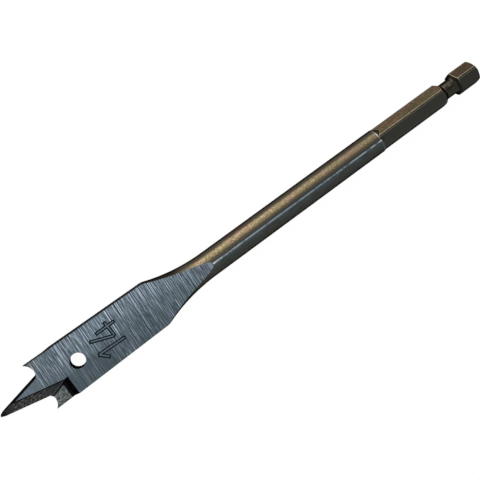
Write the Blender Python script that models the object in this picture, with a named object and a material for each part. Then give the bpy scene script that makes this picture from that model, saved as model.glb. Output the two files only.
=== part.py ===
"""Spade drill bit for wood, 14 mm, forged from one steel bar.

The bit lies along X: the shank's end face is at x = 0 and the point is at x = OVERALL_LENGTH.
Z is the blade's normal. The blade is the same after half a turn about X, so each cutter for
the +Y side is made once and used twice.
"""

import math

import bmesh
import bpy
from mathutils import Matrix, Vector

MM = 0.001

# Overall
OVERALL_LENGTH = 155.6 * MM

# Hexagonal shank, measured from its end face
HEX_ACROSS_FLATS = 6.35 * MM
HEX_ACROSS_CORNERS = 7.0 * MM
HEX_LENGTH = 34.6 * MM
HEX_TURN = math.radians(20.0)
END_FACE_DIAMETER = 4.6 * MM
END_CHAMFER_LENGTH = 0.9 * MM
GROOVE_DISTANCE = 7.25 * MM
GROOVE_DIAMETER = 4.8 * MM
GROOVE_FILLET_RADIUS = 1.5 * MM
GROOVE_NECK_LENGTH = 3.0 * MM
GROOVE_RAMP_LENGTH = 1.6 * MM

# Round shaft
SHAFT_DIAMETER = 7.15 * MM
SHOULDER_SLOPE = math.radians(15.0)
SHOULDER_OVERLAP = 1.0 * MM

# Forged flare between the shaft and the blade
FLARE_RADIUS = 47.0 * MM
FLARE_START = 62.2 * MM
FLARE_SPREAD = 4.9 * MM

# Ground faces of the blade and the ramps that run out on the shaft
BLADE_THICKNESS = 2.2 * MM
RAMP_RUNOUT = 63.4 * MM
RAMP_SLOPE = math.radians(7.8)
RAMP_FOOT_RADIUS = 40.0 * MM

# Blade edges, measured back from the point
BLADE_WIDTH = 14.0 * MM
BACK_TAPER = math.radians(0.9)
SPUR_DISTANCE = 11.15 * MM
LIP_ROOT_STEP = 0.85 * MM
LIP_HOLLOW_DEPTH = 0.72 * MM
LIP_RELIEF = math.radians(12.0)

# Centre point
POINT_BASE_HALF_WIDTH = 0.385 * MM
POINT_HALF_ANGLE = math.radians(12.8)
POINT_RELIEF = math.radians(10.0)
TIP_HALF_WIDTH = 0.1 * MM
TIP_LENGTH = 1.0 * MM

# Rake recess ahead of each lip
RECESS_DEPTH = 1.35 * MM
RECESS_DISTANCE = 18.05 * MM
RECESS_BACK_SLOPE = math.radians(40.0)

# Bevel along the point, down to its cutting edge
BEVEL_WIDTH = 2.5 * MM
POINT_EDGE_RISE = 0.5 * MM

# Ridge where the recess's side wall cuts the bevel off, and how far out the wall's foot lies
RIDGE_ROOT_OFFSET = 0.35 * MM
RIDGE_END_GAP = 0.7 * MM
WALL_RUN_AT_ROOT = 0.65 * MM
WALL_RUN_AT_BACK = 0.5 * MM

# Hanging hole
HOLE_DIAMETER = 4.0 * MM
HOLE_DISTANCE = 22.25 * MM

# Faces in a full turn and along a curve
SHAFT_SIDES = 32
SHANK_SIDES = 48
HOLE_SIDES = 32
FLARE_STEPS = 12
ARC_STEPS = 8
WALL_STEPS = 8

# How far a cutter reaches past what it cuts, in the open and beside another cut
REACH = 3.0 * MM
OVERCUT = 0.3 * MM

# Edges that turn by more than this stay sharp
SHARP_ANGLE = math.radians(25.0)

STEEL_COLOUR = (0.23, 0.24, 0.25, 1.0)
STEEL_ROUGHNESS = 0.38

# Sizes worked out from the ones above
SHAFT_RADIUS = SHAFT_DIAMETER / 2
HALF_THICKNESS = BLADE_THICKNESS / 2
NECK_RADIUS = GROOVE_DIAMETER / 2
SHAFT_START = HEX_LENGTH + (SHAFT_RADIUS - HEX_ACROSS_FLATS / 2) / math.tan(SHOULDER_SLOPE)
FLARE_WIDTH = SHAFT_RADIUS + FLARE_SPREAD
RECESS_FLOOR = HALF_THICKNESS - RECESS_DEPTH
BEVEL_DEPTH = RECESS_DEPTH - POINT_EDGE_RISE
CUTTER_TOP = HALF_THICKNESS + REACH


def clear_scene():
    """Remove every object, so that the script can be run again."""
    for thing in list(bpy.data.objects):
        bpy.data.objects.remove(thing, do_unlink=True)


def steel():
    """Tempered steel, as the bare colour of the forged bit."""
    material = bpy.data.materials.new("tempered_steel")
    material.use_nodes = True
    shader = material.node_tree.nodes["Principled BSDF"]
    shader.inputs["Base Color"].default_value = STEEL_COLOUR
    shader.inputs["Metallic"].default_value = 1.0
    shader.inputs["Roughness"].default_value = STEEL_ROUGHNESS
    material.diffuse_color = STEEL_COLOUR
    return material


def new_object(name, mesh_builder):
    """Link a new object whose mesh comes from a bmesh with its faces turned out."""
    bmesh.ops.recalc_face_normals(mesh_builder, faces=mesh_builder.faces)
    mesh = bpy.data.meshes.new(name)
    mesh_builder.to_mesh(mesh)
    mesh_builder.free()
    thing = bpy.data.objects.new(name, mesh)
    bpy.context.collection.objects.link(thing)
    return thing


def as_cutter(thing):
    """Mark an object as a tool of the model and not a piece of it."""
    thing.hide_render = True
    thing.display_type = "WIRE"
    return thing


def from_tip(distance):
    """World x of a place measured back from the point."""
    return OVERALL_LENGTH - distance


def skin(builder, rings):
    """Join rings of points of equal count into one closed skin with capped ends."""
    loops = [[builder.verts.new(point) for point in ring] for ring in rings]
    count = len(loops[0])
    for before, after in zip(loops, loops[1:]):
        for index in range(count):
            following = (index + 1) % count
            builder.faces.new((before[index], before[following], after[following], after[index]))
    builder.faces.new(loops[0])
    builder.faces.new(reversed(loops[-1]))


def prism(name, outline, lower, upper):
    """A cutter between an outline seen from above and its copy higher up.

    lower and upper each turn a point (x, y) of the outline into a point in space.
    """
    builder = bmesh.new()
    skin(builder, [[lower(x, y) for x, y in outline], [upper(x, y) for x, y in outline]])
    return as_cutter(new_object(name, builder))


def arc_points(centre_x, centre_y, radius, start, end, steps):
    """Points on an arc, both ends included."""
    turn = (end - start) / steps
    return [
        (centre_x + radius * math.cos(start + turn * step), centre_y + radius * math.sin(start + turn * step))
        for step in range(steps + 1)
    ]


def oval_ring(x, half_width, half_height):
    """One cross-section of the forged bar, with a flat facet at the top and at the bottom."""
    ring = []
    for side in range(SHAFT_SIDES):
        angle = 2 * math.pi * (side + 0.5) / SHAFT_SIDES
        ring.append((x, half_width * math.sin(angle), half_height * math.cos(angle)))
    return ring


def forged_bar():
    """The round shaft, its sloped shoulder at the shank, and the flare that becomes the blade."""
    shoulder_run = (SHAFT_RADIUS - NECK_RADIUS) / math.tan(SHOULDER_SLOPE)
    rings = [
        oval_ring(SHAFT_START - shoulder_run, NECK_RADIUS, NECK_RADIUS),
        oval_ring(SHAFT_START, SHAFT_RADIUS, SHAFT_RADIUS),
    ]
    flare_angle = math.acos(1 - FLARE_SPREAD / FLARE_RADIUS)
    for step in range(FLARE_STEPS + 1):
        angle = flare_angle * step / FLARE_STEPS
        x = from_tip(FLARE_START) + FLARE_RADIUS * math.sin(angle)
        half_width = SHAFT_RADIUS + FLARE_RADIUS * (1 - math.cos(angle))
        rings.append(oval_ring(x, half_width, SHAFT_RADIUS))
    rings.append(oval_ring(OVERALL_LENGTH, FLARE_WIDTH, SHAFT_RADIUS))
    builder = bmesh.new()
    skin(builder, rings)
    return new_object("spade_bit", builder)


def shank_profile():
    """Half outline of the turned shank as (x, radius): end chamfer, bit groove, then the hexagon."""
    corner = HEX_ACROSS_CORNERS / 2
    fillet_angle = math.acos(max(-1.0, 1 - (corner - NECK_RADIUS) / GROOVE_FILLET_RADIUS))
    fillet_end = GROOVE_DISTANCE + GROOVE_FILLET_RADIUS * math.sin(fillet_angle)
    profile = [(0.0, END_FACE_DIAMETER / 2), (END_CHAMFER_LENGTH, corner)]
    for step in range(ARC_STEPS + 1):
        angle = fillet_angle * (1 - step / ARC_STEPS)
        x = fillet_end - GROOVE_FILLET_RADIUS * math.sin(angle)
        profile.append((x, NECK_RADIUS + GROOVE_FILLET_RADIUS * (1 - math.cos(angle))))
    ramp_start = fillet_end + GROOVE_NECK_LENGTH
    profile.append((ramp_start, NECK_RADIUS))
    profile.append((ramp_start + GROOVE_RAMP_LENGTH, corner))
    profile.append((SHAFT_START, corner))
    profile.append((SHAFT_START + SHOULDER_OVERLAP, corner - SHOULDER_OVERLAP))
    return profile


def hex_shank():
    """The quick-change shank: the turned profile with six flats."""
    profile = shank_profile()
    rings = []
    for x, radius in profile:
        ring = []
        for side in range(SHANK_SIDES):
            angle = HEX_TURN + 2 * math.pi * (side + 0.5) / SHANK_SIDES
            ring.append((x, -radius * math.sin(angle), radius * math.cos(angle)))
        rings.append(ring)
    builder = bmesh.new()
    skin(builder, rings)
    shank = as_cutter(new_object("shank_stock", builder))

    corner = HEX_ACROSS_FLATS / math.sqrt(3)
    ends = (-REACH, profile[-1][0] + REACH)
    hexagon = []
    for x in ends:
        ring = []
        for side in range(6):
            angle = HEX_TURN + math.pi * side / 3
            ring.append((x, -corner * math.sin(angle), corner * math.cos(angle)))
        hexagon.append(ring)
    builder = bmesh.new()
    skin(builder, hexagon)
    bar = as_cutter(new_object("hexagon_bar", builder))
    combine(shank, bar, "INTERSECT")
    return shank


def ground_face_cutter():
    """Takes off everything above the blade's face and the long ramp up to the shaft."""
    start = RAMP_RUNOUT - (SHAFT_RADIUS - HALF_THICKNESS) / math.tan(RAMP_SLOPE)
    tangent = RAMP_FOOT_RADIUS * math.tan(RAMP_SLOPE / 2)
    side_view = [(-REACH, HALF_THICKNESS)]
    for step in range(ARC_STEPS + 1):
        angle = RAMP_SLOPE * step / ARC_STEPS
        along = start - tangent + RAMP_FOOT_RADIUS * math.sin(angle)
        side_view.append((along, HALF_THICKNESS + RAMP_FOOT_RADIUS * (1 - math.cos(angle))))
    side_view.append((RAMP_RUNOUT + REACH / math.tan(RAMP_SLOPE), SHAFT_RADIUS + REACH))
    side_view.append((-REACH, SHAFT_RADIUS + REACH))
    width = FLARE_WIDTH + REACH
    return prism(
        "ground_face_cutter",
        side_view,
        lambda along, z: (from_tip(along), -width, z),
        lambda along, z: (from_tip(along), width, z),
    )


def side_line(distance):
    """Half width of the blade at a distance back from the point."""
    return BLADE_WIDTH / 2 - (distance - SPUR_DISTANCE) * math.tan(BACK_TAPER)


def side_cutter():
    """Trims the +Y long edge of the blade straight, with its back taper."""
    far = FLARE_WIDTH + REACH
    outline = [
        (-REACH, side_line(-REACH)),
        (FLARE_START, side_line(FLARE_START)),
        (FLARE_START, far),
        (-REACH, far),
    ]
    height = SHAFT_RADIUS + REACH
    return prism(
        "side_cutter",
        outline,
        lambda along, y: (from_tip(along), y, -height),
        lambda along, y: (from_tip(along), y, height),
    )


def point_edge(distance):
    """Half width of the centre point at its cutting edge."""
    return POINT_BASE_HALF_WIDTH + distance * math.tan(POINT_HALF_ANGLE)


def lip_ends():
    """Ends of the cutting lip seen from above: its root on the point's edge, and the spur's tip."""
    root_x = SPUR_DISTANCE + LIP_ROOT_STEP
    return Vector((root_x, point_edge(root_x))), Vector((SPUR_DISTANCE, BLADE_WIDTH / 2))


def lip_arc():
    """The hollow-ground lip: an arc from its root to just past the spur's tip."""
    root, spur = lip_ends()
    chord = spur - root
    radius = chord.length**2 / (8 * LIP_HOLLOW_DEPTH) + LIP_HOLLOW_DEPTH / 2
    ahead = Vector((-chord.y, chord.x)).normalized()
    centre = (root + spur) / 2 + ahead * (radius - LIP_HOLLOW_DEPTH)
    start = math.atan2(root.y - centre.y, root.x - centre.x)
    end = math.atan2(spur.y - centre.y, spur.x - centre.x)
    return arc_points(centre.x, centre.y, radius, start, end + OVERCUT / radius, ARC_STEPS)


def edge_cutter():
    """Cuts the point's edge, the hollow lip and the spur of the +Y side, leaning for relief.

    The outline is true at the recess floor, where the cutting edge is, and draws back below it.
    """
    tip_slope = (point_edge(TIP_LENGTH) - TIP_HALF_WIDTH) / TIP_LENGTH
    outline = [
        (-REACH, TIP_HALF_WIDTH - REACH * tip_slope),
        (TIP_LENGTH, point_edge(TIP_LENGTH)),
    ]
    outline += lip_arc()
    end_x, end_y = outline[-1]
    outline.append((end_x, end_y + REACH))
    outline.append((-REACH, end_y + REACH))

    def at_height(z):
        drop = RECESS_FLOOR - z
        return lambda along, y: (
            from_tip(along + drop * math.tan(LIP_RELIEF)),
            y - drop * math.tan(POINT_RELIEF),
            z,
        )

    return prism("edge_cutter", outline, at_height(-CUTTER_TOP), at_height(CUTTER_TOP))


def bevel_edge(distance):
    """Place across the blade where the point's bevel leaves the face."""
    return point_edge(distance) - BEVEL_WIDTH


def bevel_height(distance, y):
    """Height of the bevel's plane."""
    return HALF_THICKNESS - (y - bevel_edge(distance)) * BEVEL_DEPTH / BEVEL_WIDTH


def ridge_ends():
    """Ends of the ridge seen from above: at the lip's root, and where it comes up to the face."""
    root, _ = lip_ends()
    end_x = RECESS_DISTANCE - RIDGE_END_GAP
    return root + Vector((0, RIDGE_ROOT_OFFSET)), Vector((end_x, bevel_edge(end_x)))


def bevel_cutter():
    """Cuts the bevel of the +Y side of the point, from above."""
    start, end = ridge_ends()
    way = (end - start).normalized()
    aside = Vector((-way.y, way.x)) * OVERCUT
    ahead = -REACH
    root = start + aside
    past = end + aside + way * REACH
    outline = [
        (ahead, bevel_edge(ahead) - REACH),
        (ahead, point_edge(ahead) + OVERCUT),
        (root.x, root.y),
        (past.x, past.y),
        (past.x, bevel_edge(past.x) - REACH),
    ]
    return prism(
        "bevel_cutter",
        outline,
        lambda along, y: (from_tip(along), y, bevel_height(along, y)),
        lambda along, y: (from_tip(along), y, CUTTER_TOP),
    )


def recess_cutter():
    """Cuts the recess ahead of the +Y lip: a flat floor, a sloped back wall and a side wall.

    The side wall passes through the ridge and turns as it goes, from shallow at the lip's root
    to steep at the back.
    """
    start, end = ridge_ends()
    length = (end - start).length
    way = (end - start) / length
    aside = Vector((-way.y, way.x))
    side = BLADE_WIDTH / 2 + REACH
    bottom = RECESS_FLOOR - OVERCUT
    top = HALF_THICKNESS + OVERCUT
    rings = []
    for step in range(WALL_STEPS + 1):
        share = step / WALL_STEPS
        place = share * (length + REACH) - (1 - share) * OVERCUT
        ridge = start + way * place
        height = bevel_height(ridge.x, ridge.y)
        run = WALL_RUN_AT_ROOT + (WALL_RUN_AT_BACK - WALL_RUN_AT_ROOT) * place / length
        slant = aside * run / (height - RECESS_FLOOR)
        low = ridge + slant * (height - bottom)
        high = ridge + slant * (height - top)
        far = share * (RECESS_DISTANCE + REACH) - (1 - share) * REACH
        rings.append([
            (from_tip(low.x), low.y, bottom),
            (from_tip(high.x), high.y, top),
            (from_tip(high.x), high.y, CUTTER_TOP),
            (from_tip(far), side, CUTTER_TOP),
            (from_tip(far), side, bottom),
        ])
    builder = bmesh.new()
    skin(builder, rings)
    bmesh.ops.triangulate(builder, faces=builder.faces)
    wall_side = as_cutter(new_object("recess_wall_side", builder))

    wall_run = 1 / math.tan(RECESS_BACK_SLOPE)
    side_view = [
        (-REACH, RECESS_FLOOR),
        (RECESS_DISTANCE - RECESS_DEPTH * wall_run, RECESS_FLOOR),
        (RECESS_DISTANCE + REACH * wall_run, CUTTER_TOP),
        (-REACH, CUTTER_TOP),
    ]
    recess = prism(
        "recess_cutter",
        side_view,
        lambda along, z: (from_tip(along), -side, z),
        lambda along, z: (from_tip(along), BLADE_WIDTH / 2 + OVERCUT, z),
    )
    combine(recess, wall_side, "INTERSECT")
    bake(recess)
    return recess


def hole_cutter():
    """The round hole in the blade."""
    outline = arc_points(HOLE_DISTANCE, 0.0, HOLE_DIAMETER / 2, 0.0, 2 * math.pi, HOLE_SIDES)[:-1]
    return prism(
        "hole_cutter",
        outline,
        lambda along, y: (from_tip(along), y, -CUTTER_TOP),
        lambda along, y: (from_tip(along), y, CUTTER_TOP),
    )


def turned_over(cutter):
    """A second cutter, half a turn about the bit's axis from the first."""
    other = cutter.copy()
    other.name = cutter.name + "_turned"
    bpy.context.collection.objects.link(other)
    other.matrix_world = Matrix.Rotation(math.pi, 4, Vector((1, 0, 0))) @ cutter.matrix_world
    return other


def combine(target, other, operation):
    """Add one exact Boolean of another object to a target."""
    boolean = target.modifiers.new(operation.lower() + "_" + other.name, "BOOLEAN")
    boolean.operation = operation
    boolean.solver = "EXACT"
    boolean.object = other
    return boolean


def bake(thing):
    """Turn the object's mesh into what its modifiers make of it."""
    graph = bpy.context.evaluated_depsgraph_get()
    solid = bpy.data.meshes.new_from_object(thing.evaluated_get(graph))
    solid.name = thing.name
    thing.modifiers.clear()
    thing.data = solid


def build():
    """Forge, grind and cut the bit as one solid."""
    clear_scene()
    bit = forged_bar()
    combine(bit, hex_shank(), "UNION")
    cutters = (ground_face_cutter(), side_cutter(), edge_cutter(), bevel_cutter(), recess_cutter())
    for cutter in cutters:
        combine(bit, cutter, "DIFFERENCE")
        combine(bit, turned_over(cutter), "DIFFERENCE")
    combine(bit, hole_cutter(), "DIFFERENCE")
    bake(bit)
    bit.data.shade_smooth()
    bit.data.set_sharp_from_angle(angle=SHARP_ANGLE)
    bit.data.materials.clear()
    bit.data.materials.append(steel())
    return bit


build()
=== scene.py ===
"""Looks of a 14 mm spade drill bit: one forged and ground piece, lit on a plain white table.

The bit lies along X with its shank's end face at x = 0 and its point towards +X. The blade's
normal is Z. The blade is the same after half a turn about X, so each cutter of the +Y side is
made once and used twice.
"""

import math

import bmesh
import bpy
from mathutils import Euler, Matrix, Vector


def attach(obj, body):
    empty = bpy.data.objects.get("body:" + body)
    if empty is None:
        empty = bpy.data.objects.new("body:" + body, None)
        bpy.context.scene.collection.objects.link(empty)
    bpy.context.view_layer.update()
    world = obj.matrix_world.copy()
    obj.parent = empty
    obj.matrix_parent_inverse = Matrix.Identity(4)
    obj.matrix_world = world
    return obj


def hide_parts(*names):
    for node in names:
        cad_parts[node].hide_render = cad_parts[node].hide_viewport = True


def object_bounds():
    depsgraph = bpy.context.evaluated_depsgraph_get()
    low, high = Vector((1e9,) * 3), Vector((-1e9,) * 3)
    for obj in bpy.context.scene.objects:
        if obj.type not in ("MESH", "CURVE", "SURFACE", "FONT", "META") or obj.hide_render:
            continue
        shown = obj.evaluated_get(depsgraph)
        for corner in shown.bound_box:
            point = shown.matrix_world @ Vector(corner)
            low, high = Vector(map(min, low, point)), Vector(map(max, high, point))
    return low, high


bl_info = {
    "name": "Spade Drill Bit",
    "version": (1, 0, 0),
    "blender": (4, 5, 0),
    "location": "3D View > Sidebar > Spade Bit",
    "description": "Makes a forged and ground spade drill bit and its table, lamps and camera",
    "category": "Object",
}

MM = 0.001
CAD_NODE = "spade_bit"

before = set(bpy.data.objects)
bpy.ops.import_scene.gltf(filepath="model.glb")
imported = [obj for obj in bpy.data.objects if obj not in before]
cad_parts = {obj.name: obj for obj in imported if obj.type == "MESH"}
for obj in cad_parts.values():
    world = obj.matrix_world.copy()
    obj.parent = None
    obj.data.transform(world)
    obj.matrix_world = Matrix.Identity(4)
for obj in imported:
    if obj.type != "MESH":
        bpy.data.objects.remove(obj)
CAD_LOW, CAD_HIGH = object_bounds()

# Faces in a full turn and along a curve
SHAFT_SIDES = 128
SHANK_SIDES = 144
HOLE_SIDES = 72
FLARE_STEPS = 40
ARC_STEPS = 24
WALL_STEPS = 20
FLOOR_SIDES = 96

# How far a cutter reaches past what it cuts, in the open and beside another cut
REACH = 3.0 * MM
OVERCUT = 0.3 * MM

# Edges that turn by more than this stay sharp
SHARP_ANGLE = math.radians(12.0)

# A tool's face is a slope where its normal's part along Z lies between these two
WALL_NORMAL = 0.1
FLOOR_NORMAL = 0.95

# Turn of the grinding lines against the blade's width
GRIND_TURN = math.radians(-3.2)

# Squares of the distances from the axis, in mm, where the neck's colours start and are full
NECK_BORDER = (8.6, 6.8)

# The edge mask for painted highlights and painted shade starts and is full where the rounded normal
# leaves the true one by these cosines
EDGE_LINE_START = 0.9985
EDGE_LINE_FULL = 0.965

# Table in metres: its flat rings, and the curve behind the bit
TABLE_RINGS = (0.02, 0.3, 1.2)
TABLE_CURVE = 0.9
TABLE_CURVE_TURN = math.radians(60.0)

# How bright the table is to the camera and in the steel, and that white's share of it
TABLE_WHITE = 1.06
TABLE_WHITE_SHARE = 0.9

# Lamps in metres: place, target, and width and height
OVERHEAD_LAMP = ((0.28, 0.0, 0.5), (0.12, 0.0, 0.0), (0.34, 0.28))
SIDE_LAMP = ((0.02, -0.5, 0.24), (0.06, 0.0, 0.0), (0.9, 0.3))

# Camera: its frame in mm, and the nearest and farthest that it sees in metres
FRAME_WIDTH = 36.0
NEAREST = 0.01
FARTHEST = 10.0

# Strokes of the size mark, as (back from the point, across the blade) in mm
SIZE_MARK = (
    ((34.72, 2.28), (27.06, 1.99)),
    ((27.06, 1.99), (29.05, 4.05)),
    ((29.40, -2.70), (34.87, -2.70)),
    ((32.73, -3.98), (32.90, 0.36)),
    ((32.90, 0.36), (27.14, -1.90)),
)


def linear(red, green, blue):
    """A screen colour out of 255 as the linear colour that a shader takes."""
    levels = []
    for level in (red, green, blue):
        share = level / 255
        levels.append(share / 12.92 if share <= 0.04045 else ((share + 0.055) / 1.055) ** 2.4)
    return tuple(levels)


def length(name, description, millimetres):
    """A size of the bit."""
    return bpy.props.FloatProperty(
        name=name,
        description=description,
        default=millimetres * MM,
        min=0.0,
        unit="LENGTH",
        precision=5,
    )


def angle(name, description, degrees):
    """A slope of the bit."""
    return bpy.props.FloatProperty(
        name=name, description=description, default=math.radians(degrees), subtype="ANGLE"
    )


def number(name, description, default, low=0.0):
    """A plain number of the stage, no less than low."""
    return bpy.props.FloatProperty(name=name, description=description, default=default, min=low)


def colour(name, description, red, green, blue):
    """A colour of the bit or its table, from screen levels out of 255."""
    return bpy.props.FloatVectorProperty(
        name=name,
        description=description,
        default=linear(red, green, blue),
        min=0.0,
        max=1.0,
        size=3,
        subtype="COLOR",
    )


class ShankSizes(bpy.types.PropertyGroup):
    """Sizes of the hexagonal shank and the round shaft."""

    across_flats: length("Across flats", "Width of the hexagon over its flats", 6.35)
    across_corners: length("Across corners", "Turned width over the hexagon's corners", 7.0)
    hex_length: length("Hexagon length", "From the end face to the round shaft's shoulder", 34.6)
    hex_turn: angle("Hexagon turn", "Turn of the hexagon against the blade", 20.0)
    end_diameter: length("End face", "Diameter of the end face", 4.6)
    chamfer_length: length("End chamfer", "Length of the chamfer at the end", 0.9)
    groove_distance: length("Groove distance", "From the end face to the groove's fillet", 7.25)
    groove_diameter: length("Groove diameter", "Diameter at the bottom of the ball groove", 4.8)
    groove_fillet: length("Groove fillet", "Radius at the end side of the groove", 1.5)
    neck_length: length("Groove bottom", "Length of the groove's straight bottom", 3.0)
    groove_ramp: length("Groove ramp", "Length of the slope back up to the hexagon", 1.6)
    seam_width: length("Seam flat", "Width of the ground line along the shaft", 0.48)
    shoulder_slope: angle("Shoulder slope", "Slope of the shaft's shoulder", 15.0)
    shoulder_overlap: length("Shoulder overlap", "How far the hexagon's end lies inside the shaft", 1.0)


class BladeSizes(bpy.types.PropertyGroup):
    """Sizes of the flare, the blade, its lips and its point."""

    flare_radius: length("Flare radius", "Radius of the sides between shaft and blade", 47.0)
    flare_start: length("Flare start", "Where the flare starts, back from the point", 62.2)
    flare_spread: length("Flare spread", "How far each side of the flare comes out", 4.9)
    thickness: length("Thickness", "Thickness of the blade", 2.2)
    width: length("Width", "Width over the spurs", 14.0)
    ramp_runout: length("Ramp end", "Where the ground ramp runs out on the shaft", 63.4)
    ramp_slope: angle("Ramp slope", "Slope of the ground ramp", 7.8)
    ramp_radius: length("Ramp foot", "Radius between the ramp and the blade's face", 40.0)
    back_taper: angle("Back taper", "Slope of each long edge", 0.9)
    spur_distance: length("Spur distance", "From the point back to the spurs", 11.15)
    lip_root_step: length("Lip root step", "How far the lip's root lies behind the spur", 0.85)
    lip_hollow: length("Lip hollow", "Depth of the lip's hollow curve", 0.72)
    lip_relief: angle("Lip relief", "Lean of the lip's underside", 12.0)
    point_base: length("Point base", "Half width of the point, run out to its tip", 0.385)
    point_angle: angle("Point half angle", "Half angle of the point", 12.8)
    point_relief: angle("Point relief", "Lean of the point's sides", 10.0)
    tip_width: length("Tip half width", "Half width of the blunted tip", 0.1)
    tip_length: length("Tip length", "Length of the blunted tip", 1.0)
    recess_depth: length("Recess depth", "Depth of the rake recess under the face", 1.35)
    recess_distance: length("Recess distance", "From the point to the recess's back", 18.05)
    recess_back_slope: angle("Recess back slope", "Slope of the recess's back wall", 40.0)
    bevel_width: length("Bevel width", "Width of the bevel along the point", 2.5)
    point_edge_rise: length("Point edge rise", "Height of the point's edge over the recess", 0.5)
    ridge_offset: length("Ridge offset", "Ridge's place outside the lip's root", 0.35)
    ridge_end_gap: length("Ridge end gap", "From the ridge's end to the recess's back", 0.7)
    wall_run_root: length("Wall run at root", "Run of the side wall at the lip's root", 0.65)
    wall_run_back: length("Wall run at back", "Run of the side wall at the back", 0.5)
    hole_diameter: length("Hole diameter", "Diameter of the hanging hole", 4.0)
    hole_distance: length("Hole distance", "From the point to the hole's centre", 22.25)
    mark_width: length("Mark width", "Width of the size mark's strokes", 1.0)
    mark_floor: length("Mark floor", "Width of the strokes' flat floor", 0.26)
    mark_pull: length("Mark pull", "How far each stroke stops short of its corners", 0.36)
    mark_depth: length("Mark depth", "Depth of the size mark", 0.16)


class SteelColours(bpy.types.PropertyGroup):
    """Colours of the steel, region by region, with painted highlights and painted shade among them."""

    blade: colour("Ground blade", "Ground faces of the blade", 108, 124, 135)
    # Painted shade of the ground faces towards the +Y edge, and the darker tone of the ramp
    blade_dark_and_far_shade: colour("Ground blade, far side", "Ground faces towards the far edge", 68, 80, 86)
    blade_tip: colour("Ground blade, tip", "Ground faces round the point", 74, 84, 92)
    blade_violet: colour("Ground blade, violet", "Violet-grey haze of the ground faces", 96, 97, 113)
    blade_green: colour("Ground blade, green", "Green-grey haze of the ground faces", 82, 98, 96)
    streak_light: colour("Streaks, light", "Light grinding lines", 170, 188, 202)
    streak_dark: colour("Streaks, dark", "Dark grinding lines", 44, 54, 62)
    score: colour("Score", "Brightest grinding lines", 200, 215, 226)
    # Near-black of the cut edges, painted as shade where they would mirror the white table; also the
    # painted shade in corners, along borders and in the mark's strokes, and the darkest grinding lines
    edge: colour("Cut edge", "Lips, flanks and long edges", 17, 18, 20)
    # Also laid as painted shade along the blade's long edge, the flare's sides and the rims of shaft
    # and shank
    brown_haze_and_shade: colour("Cut edge, brown", "Brown haze on the edges", 40, 34, 30)
    recess: colour("Recess", "Pressed floor of the recess", 106, 111, 111)
    recess_dark: colour("Recess, dark", "Dark mottle of the recess", 72, 76, 77)
    recess_light: colour("Recess, light", "Light specks of the recess", 158, 165, 164)
    # Painted shade on the recess's side wall and on the bevel beside it
    recess_wall_shade: colour("Recess, wall", "Side wall of the recess", 58, 63, 68)
    bevel: colour("Bevel", "Bevels along the point", 80, 81, 83)
    bevel_dark: colour("Bevel, dark", "Dark mottle of the bevels", 47, 48, 50)
    bevel_light: colour("Bevel, light", "Light specks of the bevels", 140, 138, 134)
    # Laid as the painted lit band on the side of the shaft that faces -Y
    shaft_gold: colour("Shaft, gold", "Straw temper colour", 149, 137, 101)
    shaft_bronze: colour("Shaft, bronze", "Bronze temper colour", 160, 136, 109)
    # Painted glints in the temper colours, and painted highlights on the shaft's edges
    shaft_glint: colour("Shaft, glint", "Glittering grains of the temper colours", 214, 192, 157)
    # On the shaft, laid as the olive edge of the painted lit band
    shaft_olive: colour("Shaft, olive", "Olive and brown haze between the colours", 105, 96, 80)
    # Also laid as the painted shade of the shaft's -Y rim
    shaft_grey_and_rim_shade: colour("Shaft, rim", "Grey-olive of the shaft's near side", 80, 76, 66)
    shaft_plum: colour("Shaft, plum", "Reddish brown below the gold", 84, 70, 64)
    shaft_blue: colour("Shaft, blue", "Blue-green temper colour", 94, 103, 103)
    # Also laid as a band of painted shade beside the ground line
    shaft_deep_blue_and_shade: colour("Shaft, deep blue", "Deep blue beside the ground line", 58, 68, 76)
    # Also laid as painted shade where the shaft faces +Y
    shaft_scale_and_shade: colour("Shaft, brown", "Dark forge scale", 60, 55, 48)
    shank_brown: colour("Shank, brown", "Brown of the hexagon", 95, 77, 61)
    shank_olive: colour("Shank, olive", "Olive of the hexagon", 86, 80, 59)
    # Painted shade: the hexagon, the shoulder and the neck turn this grey away from -Y
    shank_shaded_grey: colour("Shank, grey", "Neutral far side of the hexagon", 78, 78, 73)
    # Also laid as painted shade in the shoulder and on the neck's -Y side
    shank_haze_and_shade: colour("Shank, dark", "Dark haze of the hexagon", 56, 52, 44)
    # Painted highlight patches on the neck's -Y side
    shank_bare: colour("Shank, groove", "Light patches of the ball groove", 98, 92, 80)
    # Rubbed corners with painted highlights, on the side that faces -Y
    shank_rub_and_sheen: colour("Shank, rubbed", "Rubbed corners of the hexagon", 178, 168, 144)
    seam_dull: colour("Seam, dull", "Middle of the ground line along the shaft", 164, 180, 192)
    # Painted highlights at the ends of the ground line
    seam_end_highlight: colour("Seam, ends", "Bright ends of the ground line", 235, 240, 244)
    # Painted highlights on edges, ridges, the shoulder's ring and towards the ground line's ends
    bare: colour("Bare steel", "Rubbed corners and edges", 200, 207, 210)


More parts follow.
